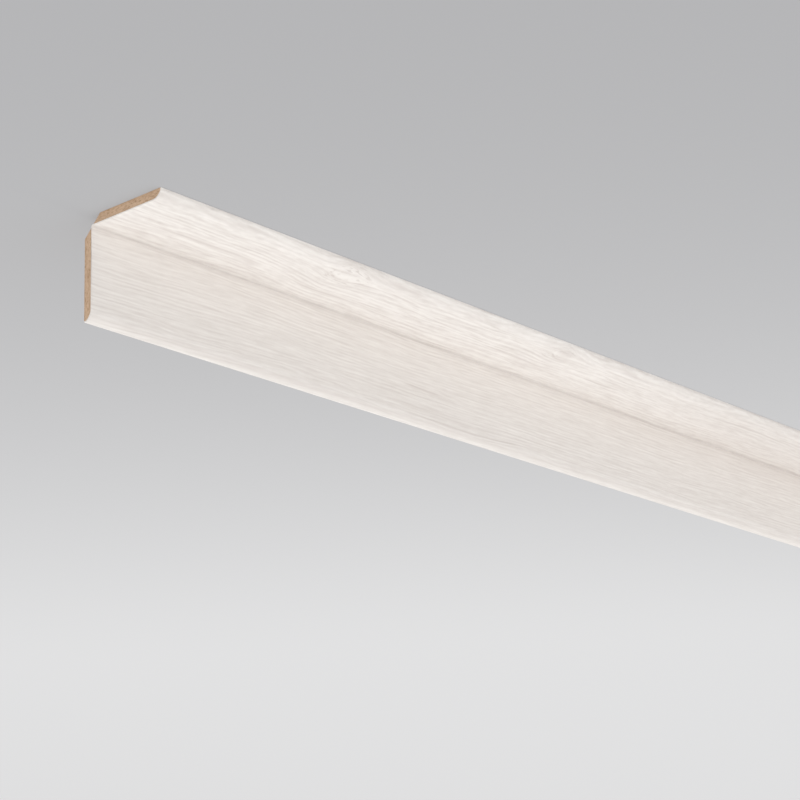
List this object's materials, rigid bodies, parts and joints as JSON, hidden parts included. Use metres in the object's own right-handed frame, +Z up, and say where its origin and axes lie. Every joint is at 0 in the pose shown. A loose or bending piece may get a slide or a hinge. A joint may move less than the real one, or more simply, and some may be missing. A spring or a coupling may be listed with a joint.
{
  "type": "corner trim profile",
  "caption": "Straight right-angled corner trim strip: thin fibreboard legs under one pale wood-look foil, folded at a V groove, with rounded long edges, for covering an inside corner.",
  "frame": {"origin": "on the floor, under the middle of the trim's box", "axes": "+X along the trim, +Z up away from the leg that lies flat, +Y towards the back of the leg that stands up"},
  "size_m": [2.38, 0.0364, 0.0365],
  "materials": {
    "fibreboard": "raw tan fibreboard, finely fibrous on the sawn ends, the back and the groove",
    "decor_foil": "matt warm white wood-look foil with fine embossed grain along the length"
  },
  "bodies": {
    "root": {"base_leg_core": "fibreboard", "upright_leg_core": "fibreboard", "decor_foil": "decor_foil"}
  },
  "joints": []
}
